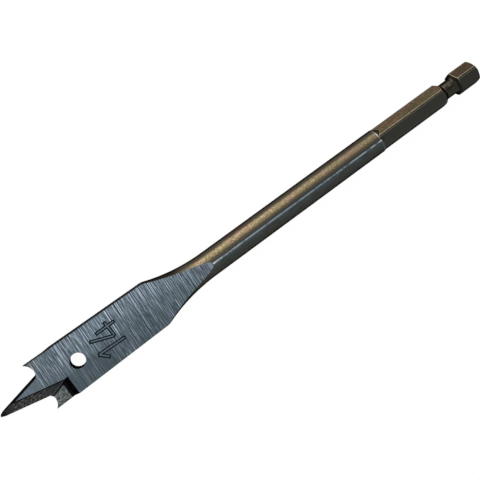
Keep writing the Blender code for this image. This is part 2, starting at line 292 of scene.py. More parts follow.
class StageSettings(bpy.types.PropertyGroup):
    """Table, lamps and camera."""

    floor: colour("Floor", "Colour of the white table", 250, 250, 250)
    world_level: number("Room level", "Level of the room's plain grey light", 0.42)
    overhead_level: number("Overhead level", "Radiance of the lamp over the blade", 1.15)
    side_level: number("Side level", "Radiance of the long lamp beside the shaft", 1.6)
    camera_place: bpy.props.FloatVectorProperty(
        name="Camera place",
        description="Where the camera stands",
        default=(95.78 * MM, -25.50 * MM, 143.61 * MM),
        subtype="TRANSLATION",
        unit="LENGTH",
        precision=5,
    )
    camera_turn: bpy.props.FloatVectorProperty(
        name="Camera turn",
        description="Which way the camera looks",
        default=[math.radians(degrees) for degrees in (0.952, -9.980, 144.862)],
        subtype="EULER",
    )
    lens: number("Lens", "Focal length in millimetres for a 36 mm frame", 41.25, 1.0)
    lens_rise: number("Lens rise", "Rise of the lens, as a share of the frame", -0.1233, -1.0)
    lens_side: number("Lens side", "Sideways shift, as a share of the frame", -0.0013, -1.0)


class Field:
    """An output of a shader node. Arithmetic on numbers adds Math nodes."""

    def __init__(self, finish, socket):
        self.finish = finish
        self.socket = socket

    def maths(self, operation, *terms):
        """A Math node on these terms."""
        return self.finish.node("ShaderNodeMath", {"operation": operation}, dict(enumerate(terms)))

    def __add__(self, other):
        return self.maths("ADD", self, other)

    def __radd__(self, other):
        return self.maths("ADD", other, self)

    def __sub__(self, other):
        return self.maths("SUBTRACT", self, other)

    def __rsub__(self, other):
        return self.maths("SUBTRACT", other, self)

    def __mul__(self, other):
        return self.maths("MULTIPLY", self, other)

    def __rmul__(self, other):
        return self.maths("MULTIPLY", other, self)

    def __abs__(self):
        return self.maths("ABSOLUTE", self)

    def sign(self):
        """-1, 0 or 1, by the sign of the number."""
        return self.maths("SIGN", self)

    def output(self, name):
        """Another output of the same node."""
        return Field(self.finish, self.socket.node.outputs[name])


class Finish:
    """One material under construction, in millimetres of the bit's own frame."""

    def __init__(self, name, shade, metallic=1.0, rim=1.0):
        self.material = bpy.data.materials.new(name)
        self.material.use_nodes = True
        self.tree = self.material.node_tree
        self.shader = self.tree.nodes["Principled BSDF"]
        self.shader.inputs["Metallic"].default_value = metallic
        self.shader.inputs["Specular Tint"].default_value = (rim, rim, rim, 1.0)
        metres = self.node("ShaderNodeTexCoord").output("Object")
        self.place = self.node(
            "ShaderNodeVectorMath", {"operation": "SCALE"}, {0: metres, "Scale": 1 / MM}
        )
        parts = self.node("ShaderNodeSeparateXYZ", {}, {0: self.place})
        self.x = parts.output("X")
        self.y = parts.output("Y")
        self.z = parts.output("Z")
        self.shade = shade

    def node(self, kind, settings=None, sockets=None):
        """Add a node: its type, its settings, and the value or link of each socket."""
        made = self.tree.nodes.new(kind)
        for name, value in (settings or {}).items():
            setattr(made, name, value)
        for name, value in (sockets or {}).items():
            self.feed(self.find_socket(made, name), value)
        shown = next(socket for socket in made.outputs if socket.enabled)
        return Field(self, shown)

    def find_socket(self, made, name):
        """An input by its number, or the input of that name that the settings leave in use."""
        if isinstance(name, int):
            return made.inputs[name]
        return next(socket for socket in made.inputs if socket.name == name and socket.enabled)

    def feed(self, socket, value):
        """Link a field to a socket, or set the socket's own value."""
        if isinstance(value, Field):
            self.tree.links.new(value.socket, socket)
        elif socket.type == "RGBA":
            socket.default_value = (*value[:3], 1.0)
        else:
            socket.default_value = value

    def mix(self, mask, first, second):
        """The first colour where the mask is 0 and the second where it is 1."""
        return self.node(
            "ShaderNodeMix",
            {"data_type": "RGBA", "clamp_factor": True},
            {"Factor": mask, "A": first, "B": second},
        )

    def lay(self, mask, over):
        """Lay a colour over those laid before, where the mask is 1."""
        self.shade = self.mix(mask, self.shade, over)

    def tint(self, value, low, high, over, share=None):
        """Lay a colour where a value goes from low to high, at a share of its strength."""
        mask = self.rise(value, low, high)
        self.lay(mask if share is None else mask * share, over)

    def blend(self, mask, first, second):
        """The first number where the mask is 0 and the second where it is 1."""
        return first + mask * (second - first)

    def rise(self, value, low, high):
        """0 up to low and 1 from high on, with a soft step between them. Low may be the larger."""
        return self.node(
            "ShaderNodeMapRange",
            {"interpolation_type": "SMOOTHSTEP"},
            {"Value": value, "From Min": low, "From Max": high},
        )

    def grain(self, size, detail=2.0, roughness=0.5, shift=0.0, turn=0.0):
        """Noise whose grains have this size in mm along each axis, turned about Z."""
        placed = self.node(
            "ShaderNodeMapping",
            {"vector_type": "TEXTURE"},
            {
                "Vector": self.place,
                "Location": (shift, shift, shift),
                "Rotation": (0, 0, turn),
                "Scale": size,
            },
        )
        return self.node(
            "ShaderNodeTexNoise",
            {"noise_dimensions": "3D"},
            {"Vector": placed, "Scale": 1.0, "Detail": detail, "Roughness": roughness},
        )

    def lines(self, size, apart, shift=0.0):
        """Grinding lines about 0: the change of a noise over a short way along the bit."""
        here = self.grain(size, 1.0, 0.5, shift, GRIND_TURN)
        ahead = self.grain(size, 1.0, 0.5, shift + apart, GRIND_TURN)
        return here - ahead

    def back(self):
        """Distance back from the point."""
        return CAD_HIGH.x / MM - self.x

    def facing(self, axis):
        """How far the surface faces along one axis of the bit, from -1 to 1."""
        turned = self.node("ShaderNodeTexCoord").output("Normal")
        return self.node("ShaderNodeSeparateXYZ", {}, {0: turned}).output(axis)

    def side(self):
        """How far the upper half faces +Y and the lower half -Y, so that half a turn gives the same."""
        return self.facing("Y") * self.facing("Z").sign()

    def hollow(self, reach):
        """0 on open surfaces and up to 1 deep in corners, where shade is painted."""
        settings = {"samples": 8, "only_local": True}
        openness = self.node("ShaderNodeAmbientOcclusion", settings, {"Distance": reach * MM})
        return 1.0 - openness.output("AO")

    def edge_rounding(self, radius, full=EDGE_LINE_FULL):
        """The normal rounded at sharp corners, and a mask that is 1 at them, for painted edge
        highlights and painted edge shade.
        """
        rounded = self.node("ShaderNodeBevel", {"samples": 6}, {"Radius": radius * MM})
        true = self.node("ShaderNodeNewGeometry").output("Normal")
        turned = self.node("ShaderNodeVectorMath", {"operation": "DOT_PRODUCT"}, {0: rounded, 1: true})
        return rounded, self.rise(turned.output("Value"), EDGE_LINE_START, full)

    def bump(self, height, depth, normal=None):
        """A Bump node for a height of 0 to 1 over a depth in mm."""
        sockets = {"Height": height, "Distance": depth * MM, "Strength": 1.0}
        if normal is not None:
            sockets["Normal"] = normal
        return self.node("ShaderNodeBump", {}, sockets)

    def done(self, roughness, normal):
        """Feed the shader and give the material."""
        self.feed(self.shader.inputs["Base Color"], self.shade)
        self.feed(self.shader.inputs["Roughness"], roughness)
        self.feed(self.shader.inputs["Normal"], normal)
        return self.material


def grind(finish, colours, depth):
    """Lay grinding lines as strong as depth over a finish, and give the coarse and the fine ones."""
    fine = finish.lines((0.28, 60.0, 30.0), 0.25)
    dashes = finish.lines((0.34, 2.4, 2.0), 0.30, 71.0)
    coarse = finish.grain((0.9, 60.0, 30.0), shift=31.0, turn=GRIND_TURN)
    scores = finish.lines((0.40, 60.0, 30.0), 0.36, 57.0)
    bite = finish.grain((1.1, 4.0, 4.0), shift=19.0, turn=GRIND_TURN)
    bite = finish.rise(bite, 0.34, 0.62) * depth
    finish.tint(coarse, 0.50, 0.64, colours.streak_light, depth * 0.15)
    finish.tint(coarse, 0.50, 0.36, colours.streak_dark, depth * 0.15)
    finish.tint(dashes, 0.0, 0.16, colours.streak_light, depth * 0.4)
    finish.tint(dashes, 0.0, -0.16, colours.streak_dark, depth * 0.4)
    finish.tint(fine, 0.0, 0.16, colours.streak_light, bite)
    finish.tint(fine, 0.0, -0.16, colours.streak_dark, bite)
    finish.tint(scores, 0.18, 0.26, colours.score, bite)
    finish.tint(scores, -0.18, -0.26, colours.edge, bite)
    return coarse, fine


def ground_steel(colours, stock):
    """Blue-grey ground faces: violet and green haze, grinding lines, painted shade towards the +Y edge,
    and dark borders of painted shade.
    """
    finish = Finish("ground_steel", colours.blade, rim=0.6)
    blade = stock.blade
    spur = blade.spur_distance / MM
    root = stock.lip_root / MM
    back = finish.back()
    across = finish.y * finish.z.sign()
    broad = finish.grain((8.0, 4.0, 4.0), shift=7.0)
    haze = finish.grain((3.0, 5.0, 5.0), shift=83.0, turn=GRIND_TURN)
    # Painted shade: the faces darken across the blade towards the +Y edge
    far_side = finish.rise(across + (broad - 0.5) * 8.0, -5.5, 4.0)
    tip_side = finish.rise(back - (broad - 0.5) * 8.0, 33.6, 13.6)
    ramp_side = finish.rise(back, 41.6, 51.6)
    beside_point = finish.rise(back, root + 0.3, root - 0.3)
    # A smoother patch on the +Y half near the point, darkened with painted shade
    calm_and_shaded = finish.rise(across + (broad - 0.5) * 6.0, 0.0, 3.0) * finish.rise(back, 35.6, 26.6)
    spur_side = finish.rise(back, spur + 3.4, spur + 1.8) * finish.rise(across, -3.6, -5.2)
    finish.lay(far_side, colours.blade_dark_and_far_shade)
    finish.lay(tip_side * 0.85, colours.blade_tip)
    finish.lay(ramp_side * 0.62, colours.blade_dark_and_far_shade)
    finish.tint(haze, 0.50, 0.62, colours.blade_violet, 0.35)
    finish.tint(haze, 0.48, 0.36, colours.blade_green, 0.35)
    finish.lay(calm_and_shaded * 0.6, colours.blade_dark_and_far_shade)
    finish.lay(beside_point * 0.35, colours.blade)
    finish.lay(spur_side * 0.45, colours.shaft_olive)

    depth = finish.blend(far_side, 1.0, 0.38) * finish.blend(tip_side, 1.0, 0.65)
    depth = depth * finish.blend(calm_and_shaded, 1.0, 0.45) * finish.blend(beside_point, 1.0, 0.35)
    coarse, fine = grind(finish, colours, depth)

    # Painted shade: a dark brown margin along the long edge
    border = stock.side_line(0.0) / MM - back * math.tan(blade.back_taper)
    finish.tint(across + border, 0.46, 0.16, colours.brown_haze_and_shade, 0.9)
    # Painted shade: a black margin along the point's edge
    flank_shade = across + back * math.tan(blade.point_angle) + blade.point_base / MM
    finish.tint(flank_shade, 0.68, 0.40, colours.edge, beside_point)
    # Painted shade: dark outlines at every sharp edge, faint on the ramp
    rounded, cut = finish.edge_rounding(0.14)
    finish.lay(cut * finish.blend(ramp_side, 0.8, 0.2), colours.edge)
    relief = finish.bump(fine + 0.6 * coarse, 0.010, rounded)
    return finish.done(finish.blend(coarse, 0.32, 0.44), relief)


def edge_steel(colours):
    """Cut edges painted near-black as shade, where they would mirror the white table, with a brown haze
    and faint painted highlights.
    """
    finish = Finish("edge_steel", colours.edge, rim=0.0)
    haze = finish.grain((1.2, 1.2, 0.8), 3.0, 0.6)
    finish.tint(haze, 0.50, 0.70, colours.brown_haze_and_shade)
    # A faint painted highlight on the corners
    rounded, edge_sheen_and_shade = finish.edge_rounding(0.05)
    finish.lay(edge_sheen_and_shade * 0.1, colours.bare)
    return finish.done(finish.blend(haze, 0.42, 0.6), finish.bump(haze, 0.01, rounded))


def press(finish, dark, specks):
    """Lay the mottle of a pressed surface over a finish, and give its height."""
    mottle = finish.grain((0.8, 0.8, 0.8), 4.0, 0.65)
    pits = finish.grain((0.42, 0.42, 0.42), shift=13.0)
    finish.tint(mottle, 0.56, 0.40, dark)
    finish.tint(pits, 0.52, 0.66, specks, 0.9)
    return mottle + 0.5 * pits


def recess_steel(colours, stock):
    """Mottled grey of the pressed recess, with painted shade up its side wall, in its corners, at the
    back wall's foot and along its edges.
    """
    finish = Finish("recess_steel", colours.recess, rim=0.3)
    face = stock.half_thickness / MM
    foot = stock.recess_foot / MM
    height = press(finish, colours.recess_dark, colours.recess_light)
    # Painted shade: darker up the sloped side wall, and black in its corners
    wall = finish.rise(abs(finish.facing("Z")), 0.95, 0.85)
    finish.lay(wall, colours.recess_wall_shade)
    finish.lay(wall * finish.rise(finish.hollow(0.4), 0.20, 0.45), colours.edge)
    # Painted shade in corners, at the back wall's foot and along the edges
    finish.tint(finish.hollow(0.7), 0.14, 0.30, colours.edge, 0.7)
    finish.tint(finish.back(), foot - 0.85, foot - 0.65, colours.edge)
    rounded, edge_sheen_and_shade = finish.edge_rounding(0.10)
    finish.lay(edge_sheen_and_shade * 0.8, colours.edge)
    finish.tint(abs(finish.z), face - 0.14, face - 0.07, colours.edge)
    return finish.done(finish.blend(height, 0.34, 0.5), finish.bump(height, 0.03, rounded))


def bevel_steel(colours, stock):
    """Mottled grey of the bevels: painted shade behind the lips' roots and along the edges, painted
    highlights on the ridges, and black at the tip.
    """
    finish = Finish("bevel_steel", colours.bevel, rim=0.3)
    face = stock.half_thickness / MM
    root = stock.lip_root / MM
    back = finish.back()
    level = abs(finish.z)
    height = press(finish, colours.bevel_dark, colours.bevel_light)
    # Painted shade behind the lips' roots, beside the recess's side wall
    finish.tint(back, root - 0.8, root + 2.0, colours.recess_wall_shade, 0.7)
    # A painted highlight on the ridge, and painted shade along the other edges
    ridge = finish.rise(back, root - 0.2, root + 0.2) * finish.rise(level, face - 0.08, face - 0.25)
    rounded, edge_sheen_and_shade = finish.edge_rounding(0.16)
    finish.lay(edge_sheen_and_shade * 0.85, finish.mix(ridge, colours.edge, colours.bare))
    finish.tint(level, face - 0.15, face - 0.07, colours.edge)
    finish.tint(back, 3.2, 0.6, colours.edge, 0.85)
    return finish.done(finish.blend(height, 0.34, 0.5), finish.bump(height, 0.03, rounded))


def scale_and_shaded_side(finish, colours, facing, mottle):
    """Lay grey-olive and brown scale over the blue-green, painted shade where the shaft faces +Y, and
    deep blue by the ground line, with a band of painted shade beside it.
    """
    clouds = finish.grain((6.0, 1.6, 1.6), shift=23.0)
    finish.tint(clouds, 0.50, 0.64, colours.shaft_grey_and_rim_shade, 0.6)
    finish.tint(mottle, 0.52, 0.70, colours.shaft_scale_and_shade, 0.35)
    finish.tint(facing, 0.20, 0.62, colours.shaft_scale_and_shade, 0.75)
    deep = finish.rise(clouds, 0.48, 0.38) * finish.rise(facing, 0.50, 0.10)
    finish.lay(deep * 0.6, colours.shaft_deep_blue_and_shade)
    finish.tint(facing, 0.02, -0.06, colours.shaft_deep_blue_and_shade, 0.6)


def lit_band_temper(finish, colours, glitter, flare):
    """Straw and bronze temper colours for the painted lit band on the shaft's -Y side, with painted
    glints that grow towards the flare.
    """
    patches = finish.grain((3.6, 5.0, 5.0), 1.0)
    shade = finish.mix(finish.rise(patches, 0.45, 0.55), colours.shaft_gold, colours.shaft_bronze)
    dull = finish.rise(finish.x, flare + 1.6, flare - 57.4) * 0.5
    shade = finish.mix(dull, shade, colours.shaft_scale_and_shade)
    strength = finish.blend(finish.rise(finish.x, flare - 48.4, flare - 8.4), 0.45, 1.0)
    shade = finish.mix(finish.rise(glitter, 0.52, 0.64) * strength * 0.55, shade, colours.shaft_glint)
    return finish.mix(finish.rise(glitter, 0.48, 0.36) * strength * 0.5, shade, colours.shaft_scale_and_shade)


def shaft_steel(colours, stock):
    """Forged shaft: straw and bronze temper colours as a painted lit band on the side facing -Y,
    blue-green with painted shade on the other side, painted shade at the rims and shoulder, and painted
    highlights on its ring and edges.
    """
    finish = Finish("shaft_steel", colours.shaft_blue, rim=0.15)
    shoulder = stock.shaft_start / MM
    flare = from_tip(stock.blade.flare_start) / MM
    facing = finish.side()
    mottle = finish.grain((0.8, 0.5, 0.5), 4.0, 0.65)
    glitter = finish.grain((0.42, 0.30, 0.30), 2.0, 0.6, 5.0)
    # Which way the surface faces, with noise: the painted lit band and the painted shade bands follow
    # it
    wander = facing + (mottle - 0.5) * 0.22
    spread = finish.rise(finish.x, flare + 1.0, flare + 7.0)
    flank_shade = finish.rise(finish.x, flare + 5.0, flare + 9.5) * 0.85
    lit_band = lit_band_temper(finish, colours, glitter, flare)
    lit_band = finish.mix(spread * 0.85, lit_band, colours.shaft_grey_and_rim_shade)
    # The -Y rim band: grey-olive painted shade with a plum blush
    blush = finish.rise(finish.grain((4.5, 2.0, 2.0), shift=41.0), 0.48, 0.60) * (1.0 - spread)
    low = finish.mix(blush, colours.shaft_grey_and_rim_shade, colours.shaft_plum)
    scale_and_shaded_side(finish, colours, facing, mottle)
    # The olive edge of the painted lit band, the painted lit band of temper colours, and the painted
    # shade of the -Y rim
    finish.tint(wander, -0.10, -0.26, colours.shaft_olive)
    finish.tint(wander, -0.26, -0.46, lit_band)
    finish.tint(wander, -0.66, -0.84, low)
    # Painted shade on the flare's sides and along both rims
    finish.lay(flank_shade, colours.brown_haze_and_shade)
    finish.tint(facing, -0.93, -0.985, colours.edge, 0.6)
    finish.tint(facing, 0.80, 0.93, colours.brown_haze_and_shade, 0.8)

    # Painted shade in the shoulder's slope, darkest on the -Y side
    cone_shade = finish.mix(finish.rise(facing, -0.2, 0.2), colours.shank_haze_and_shade, colours.shank_shaded_grey)
    finish.tint(finish.x, shoulder + 0.05, shoulder - 0.15, cone_shade)
    # A painted highlight on the shoulder's ring, strongest on the lit side
    lit = finish.rise(facing, -0.20, -0.32) * finish.rise(facing, -0.74, -0.52)
    ring = finish.rise(abs(finish.x - (shoulder + 0.15)), 0.22, 0.06)
    finish.lay(ring * finish.blend(lit, 0.15, 0.8), colours.bare)
    # Painted highlights on edges that face -Y, fainter on the flare's sides
    rounded, edge_sheen_and_shade = finish.edge_rounding(0.12)
    edge_sheen_and_shade = edge_sheen_and_shade * finish.blend(spread, 0.5, 0.9) * finish.rise(facing, 0.2, -0.2) * (1.0 - flank_shade)
    finish.lay(edge_sheen_and_shade, colours.shaft_glint)
    relief = finish.bump(mottle + 0.7 * glitter, 0.035, rounded)
    return finish.done(finish.blend(mottle, 0.34, 0.50), relief)


def shank_steel(colours, stock):
    """Brown and olive hexagon: rubbed corners with painted highlights, painted grey shade on the side
    away from -Y, darker at its end, and painted shade in the groove, the corners and along the rims.
    """
    finish = Finish("shank_steel", colours.shank_brown, rim=0.15)
    groove = stock.shank.groove_distance / MM
    facing = finish.side()
    patches = finish.grain((3.4, 3.0, 3.0), shift=3.0)
    mottle = finish.grain((0.9, 0.6, 0.6), 4.0, 0.65, 9.0)
    drawn = finish.grain((7.0, 0.25, 0.25), 3.0, 0.6)
    # Painted shade: grey except on faces that turn to -Y
    neutral_shaded_side = finish.rise(facing, -0.55, -0.15)
    finish.tint(patches, 0.42, 0.58, colours.shank_olive)
    finish.tint(mottle, 0.50, 0.68, colours.shank_haze_and_shade, 0.4)
    finish.tint(mottle, 0.46, 0.32, colours.shaft_bronze, 0.3)
    finish.lay(neutral_shaded_side, colours.shank_shaded_grey)
    end = finish.rise(finish.x, groove + 4.75, groove - 1.25)
    finish.lay(end * finish.blend(neutral_shaded_side, 0.54, 0.18), colours.shank_haze_and_shade)

    # Neck: painted highlight patches where it faces -Y, over painted shade that is dark on the -Y side
    # and grey on the +Y side
    highlight_patch = finish.rise(mottle, 0.46, 0.62) * finish.rise(facing, 0.5, -0.3) * 0.8
    turned = finish.mix(finish.rise(facing, -0.2, 0.3) * 0.7, colours.shank_haze_and_shade, colours.shank_shaded_grey)
    turned = finish.mix(highlight_patch, turned, colours.shank_bare)
    radius_squared = finish.y * finish.y + finish.z * finish.z
    finish.tint(radius_squared, *NECK_BORDER, turned)
    # Painted shade on faces that turn along the axis, and in corners
    finish.tint(abs(finish.facing("X")), 0.25, 0.65, colours.edge, 0.8)
    finish.tint(finish.hollow(1.2), 0.15, 0.5, colours.edge, 0.6)

    # Painted shade along both rims
    finish.tint(facing, 0.60, 0.80, colours.brown_haze_and_shade, 0.5)
    finish.tint(facing, -0.80, -0.95, colours.edge, 0.6)
    # Painted highlights on the rubbed corners that face -Y
    rounded, edge_sheen_and_shade = finish.edge_rounding(0.25, 0.993)
    edge_sheen_and_shade = edge_sheen_and_shade * finish.rise(facing, 0.12, -0.18) * finish.rise(facing, -0.95, -0.80)
    finish.lay(edge_sheen_and_shade * finish.blend(finish.rise(drawn, 0.40, 0.60), 0.7, 1.0), colours.shank_rub_and_sheen)
    relief = finish.bump(0.5 * mottle + drawn, 0.015, rounded)
    return finish.done(finish.blend(mottle, 0.34, 0.5), relief)


def seam_steel(colours, stock):
    """Thin ground line along the shaft, with painted highlights that brighten it towards its ends."""
    finish = Finish("seam_steel", colours.seam_dull)
    start = stock.shaft_start / MM
    end = from_tip(stock.blade.ramp_runout) / MM
    from_middle = abs(finish.x - (start + end) / 2)
    fade = finish.grain((1.7, 3.0, 3.0), 3.0, 0.6, 17.0)
    fine = finish.grain((0.5, 3.0, 3.0), 3.0, 0.6)
    # Painted highlights brighten the line towards both ends
    finish.tint(from_middle, 12.0, 27.5, colours.bare)
    finish.tint(fade, 0.47, 0.60, colours.blade, 0.8)
    finish.tint(fine, 0.50, 0.36, colours.blade, 0.4)
    finish.tint(from_middle, 26.4, 28.0, colours.seam_end_highlight)
    return finish.done(finish.blend(fine, 0.3, 0.45), finish.bump(fine, 0.01))


def mark_steel(colours):
    """Stamped strokes of the size mark: walls near-black with painted shade, and a lighter floor."""
    finish = Finish("mark_steel", colours.edge, rim=0.0)
    mottle = finish.grain((0.3, 0.3, 0.3), 3.0, 0.6)
    # Painted shade: the sloped walls keep the near-black, the flat floor takes the blade's colour
    finish.tint(finish.facing("Z"), 0.9, 0.99, colours.blade)
    finish.tint(mottle, 0.5, 0.7, colours.streak_dark, 0.3)
    return finish.done(finish.blend(mottle, 0.35, 0.5), finish.bump(mottle, 0.01))


def all_steels(colours, stock):
    """The finishes, by what leaves them on the bit."""
    return {
        "shaft": shaft_steel(colours, stock),
        "shank": shank_steel(colours, stock),
        "ground": ground_steel(colours, stock),
        "edge": edge_steel(colours),
        "recess": recess_steel(colours, stock),
        "bevel": bevel_steel(colours, stock),
        "seam": seam_steel(colours, stock),
        "mark": mark_steel(colours),
    }


def add_object(name, data):
    """Link a new object with this mesh, lamp or camera."""
    thing = bpy.data.objects.new(name, data)
    bpy.context.scene.collection.objects.link(thing)
    return thing


def mesh_object(name, builder, steel):
    """Link a new object of one finish, whose mesh comes from a bmesh with its faces turned out."""
    bmesh.ops.recalc_face_normals(builder, faces=builder.faces)
    mesh = bpy.data.meshes.new(name)
    builder.to_mesh(mesh)
    builder.free()
    mesh.materials.append(steel)
    return add_object(name, mesh)


def skin(builder, rings):
    """Join rings of points of equal count into one closed skin with capped ends."""
    loops = [[builder.verts.new(point) for point in ring] for ring in rings]
    count = len(loops[0])
    for before, after in zip(loops, loops[1:]):
        for index in range(count):
            following = (index + 1) % count
            builder.faces.new((before[index], before[following], after[following], after[index]))
    builder.faces.new(loops[0])
    builder.faces.new(reversed(loops[-1]))


def arc_points(centre_x, centre_y, radius, start, end, steps):
    """Points on an arc, both ends included."""
    turn = (end - start) / steps
    points = []
    for step in range(steps + 1):
        around = start + turn * step
        points.append((centre_x + radius * math.cos(around), centre_y + radius * math.sin(around)))
    return points


def rising_arc(start_x, start_y, radius, angle, steps):
    """Points on an arc that starts level and rises through an angle, both ends included."""
    points = []
    for step in range(steps + 1):
        turn = angle * step / steps
        points.append((start_x + radius * math.sin(turn), start_y + radius * (1 - math.cos(turn))))
    return points


def combine(target, other, operation):
    """Add one exact Boolean of another object, whose cuts keep that object's material."""
    boolean = target.modifiers.new(operation.lower() + "_" + other.name, "BOOLEAN")
    boolean.operation = operation
    boolean.solver = "EXACT"
    boolean.material_mode = "TRANSFER"
    boolean.object = other


def keep_inside(thing, other):
    """Leave what of an object lies inside another, and remove that one."""
    combine(thing, other, "INTERSECT")
    bake(thing)
    bpy.data.objects.remove(other)


def bake(thing):
    """Turn the object's mesh into what its modifiers make of it."""
    graph = bpy.context.evaluated_depsgraph_get()
    solid = bpy.data.meshes.new_from_object(thing.evaluated_get(graph))
    solid.name = thing.name
    thing.modifiers.clear()
    thing.data = solid


def from_tip(distance):
    """World x of a place measured back from the point."""
    return CAD_HIGH.x - distance


def at_height(z):
    """Puts the points of an outline seen from above at a height."""
    return lambda back, y: (from_tip(back), y, z)


def at_width(y):
    """Puts the points of an outline seen from the side at a place across the blade."""
    return lambda back, z: (from_tip(back), y, z)


class Stock:
    """The uncut bar: shaft, flare and shank, with every cutter that shapes it."""

    def __init__(self, shank, blade):
        self.shank = shank
        self.blade = blade
        self.steels = {}
        self.cutters = []
        self.half_thickness = blade.thickness / 2
        self.half_width = blade.width / 2
        self.shaft_radius = math.hypot(CAD_HIGH.z, shank.seam_width / 2)
        self.flare_width = self.shaft_radius + blade.flare_spread
        self.recess_floor = self.half_thickness - blade.recess_depth
        back_wall = blade.recess_depth / math.tan(blade.recess_back_slope)
        self.recess_foot = blade.recess_distance - back_wall
        self.bevel_depth = blade.recess_depth - blade.point_edge_rise
        self.lip_root = blade.spur_distance + blade.lip_root_step
        self.neck_radius = shank.groove_diameter / 2
        rise = self.shaft_radius - shank.across_flats / 2
        self.shaft_start = shank.hex_length + rise / math.tan(shank.shoulder_slope)
        self.cutter_top = self.half_thickness + REACH

    def solid(self, name, steel, rings, twisted=False):
        """A closed solid of one finish through rings of points, in triangles if they are twisted."""
        builder = bmesh.new()
        skin(builder, rings)
        if twisted:
            bmesh.ops.triangulate(builder, faces=builder.faces)
        return mesh_object(name, builder, self.steels[steel])

    def prism(self, name, steel, outline, lower, upper):
        """A cutter between an outline and its copy, each placed in space by a function."""
        rings = [[lower(*point) for point in outline], [upper(*point) for point in outline]]
        return self.solid(name, steel, rings)

    def oval_ring(self, x, half_width, half_height):
        """One cross-section of the forged bar."""
        ring = []
        for side in range(SHAFT_SIDES):
            turn = 2 * math.pi * (side + 0.5) / SHAFT_SIDES
            ring.append((x, half_width * math.sin(turn), half_height * math.cos(turn)))
        return ring

    def forged_bar(self):
        """The round shaft, its sloped shoulder at the shank, and the flare."""
        radius = self.shaft_radius
        shoulder_run = (radius - self.neck_radius) / math.tan(self.shank.shoulder_slope)
        rings = [
            self.oval_ring(self.shaft_start - shoulder_run, self.neck_radius, self.neck_radius),
            self.oval_ring(self.shaft_start, radius, radius),
        ]
        flare = self.blade.flare_radius
        flare_angle = math.acos(1 - self.blade.flare_spread / flare)
        start = from_tip(self.blade.flare_start)
        for x, half_width in rising_arc(start, radius, flare, flare_angle, FLARE_STEPS):
            rings.append(self.oval_ring(x, half_width, radius))
        rings.append(self.oval_ring(CAD_HIGH.x, self.flare_width, radius))
        return self.solid("bit", "shaft", rings)

    def shank_profile(self):
        """Half outline of the turned shank as (x, radius)."""
        shank = self.shank
        corner = shank.across_corners / 2
        fillet = shank.groove_fillet
        fillet_angle = math.acos(max(-1.0, 1 - (corner - self.neck_radius) / fillet))
        fillet_end = shank.groove_distance + fillet * math.sin(fillet_angle)
        profile = [(0.0, shank.end_diameter / 2), (shank.chamfer_length, corner)]
        for step in range(ARC_STEPS + 1):
            turn = fillet_angle * (1 - step / ARC_STEPS)
            x = fillet_end - fillet * math.sin(turn)
            profile.append((x, self.neck_radius + fillet * (1 - math.cos(turn))))
        ramp_start = fillet_end + shank.neck_length
        profile.append((ramp_start, self.neck_radius))
        profile.append((ramp_start + shank.groove_ramp, corner))
        profile.append((self.shaft_start, corner))
        profile.append((self.shaft_start + shank.shoulder_overlap, corner - shank.shoulder_overlap))
        return profile

    def hex_shank(self):
        """The quick-change shank: the turned profile with six flats."""
        turn = self.shank.hex_turn
        profile = self.shank_profile()
        rings = []
        for x, radius in profile:
            ring = []
            for side in range(SHANK_SIDES):
                around = turn + 2 * math.pi * (side + 0.5) / SHANK_SIDES
                ring.append((x, -radius * math.sin(around), radius * math.cos(around)))
            rings.append(ring)
        stock = self.solid("shank_stock", "shank", rings)

        corner = self.shank.across_flats / math.sqrt(3)
        hexagon = []
        for side in range(6):
            around = turn + math.pi * side / 3
            hexagon.append((-corner * math.sin(around), corner * math.cos(around)))
        bar = self.prism(
            "hexagon_bar",
            "shank",
            hexagon,
            lambda y, z: (-REACH, y, z),
            lambda y, z: (profile[-1][0] + REACH, y, z),
        )
        keep_inside(stock, bar)
        return stock

    def seam_cutter(self):
        """Grinds the narrow flat along the top of the shaft."""
        outline = [(0.0, -REACH), (CAD_HIGH.x, -REACH), (CAD_HIGH.x, REACH), (0.0, REACH)]
        return self.prism(
            "seam_cutter",
            "seam",
            outline,
            lambda x, y: (x, y, CAD_HIGH.z),
            lambda x, y: (x, y, CAD_HIGH.z + REACH),
        )

    def ground_face_cutter(self):
        """Takes off everything above the blade's face and the long ramp up to the shaft."""
        blade = self.blade
        slope = blade.ramp_slope
        start = blade.ramp_runout - (self.shaft_radius - self.half_thickness) / math.tan(slope)
        tangent = blade.ramp_radius * math.tan(slope / 2)
        foot = start - tangent
        side_view = [(-REACH, self.half_thickness)]
        side_view += rising_arc(foot, self.half_thickness, blade.ramp_radius, slope, ARC_STEPS)
        top = self.shaft_radius + REACH
        side_view.append((blade.ramp_runout + REACH / math.tan(slope), top))
        side_view.append((-REACH, top))
        width = self.flare_width + REACH
        return self.prism("ground_face_cutter", "ground", side_view, at_width(-width), at_width(width))

    def side_line(self, distance):
        """Half width of the blade at a distance back from the point."""
        return self.half_width - (distance - self.blade.spur_distance) * math.tan(self.blade.back_taper)

    def side_cutter(self):
        """Trims the +Y long edge of the blade straight, with its back taper."""
        far = self.flare_width + REACH
        start = self.blade.flare_start
        outline = [
            (-REACH, self.side_line(-REACH)),
            (start, self.side_line(start)),
            (start, far),
            (-REACH, far),
        ]
        height = self.shaft_radius + REACH
        return self.prism("side_cutter", "edge", outline, at_height(-height), at_height(height))

    def point_edge(self, distance):
        """Half width of the centre point at its cutting edge."""
        return self.blade.point_base + distance * math.tan(self.blade.point_angle)

    def lip_ends(self):
        """Ends of the lip seen from above: its root on the point's edge, and the spur's tip."""
        root = Vector((self.lip_root, self.point_edge(self.lip_root)))
        return root, Vector((self.blade.spur_distance, self.half_width))

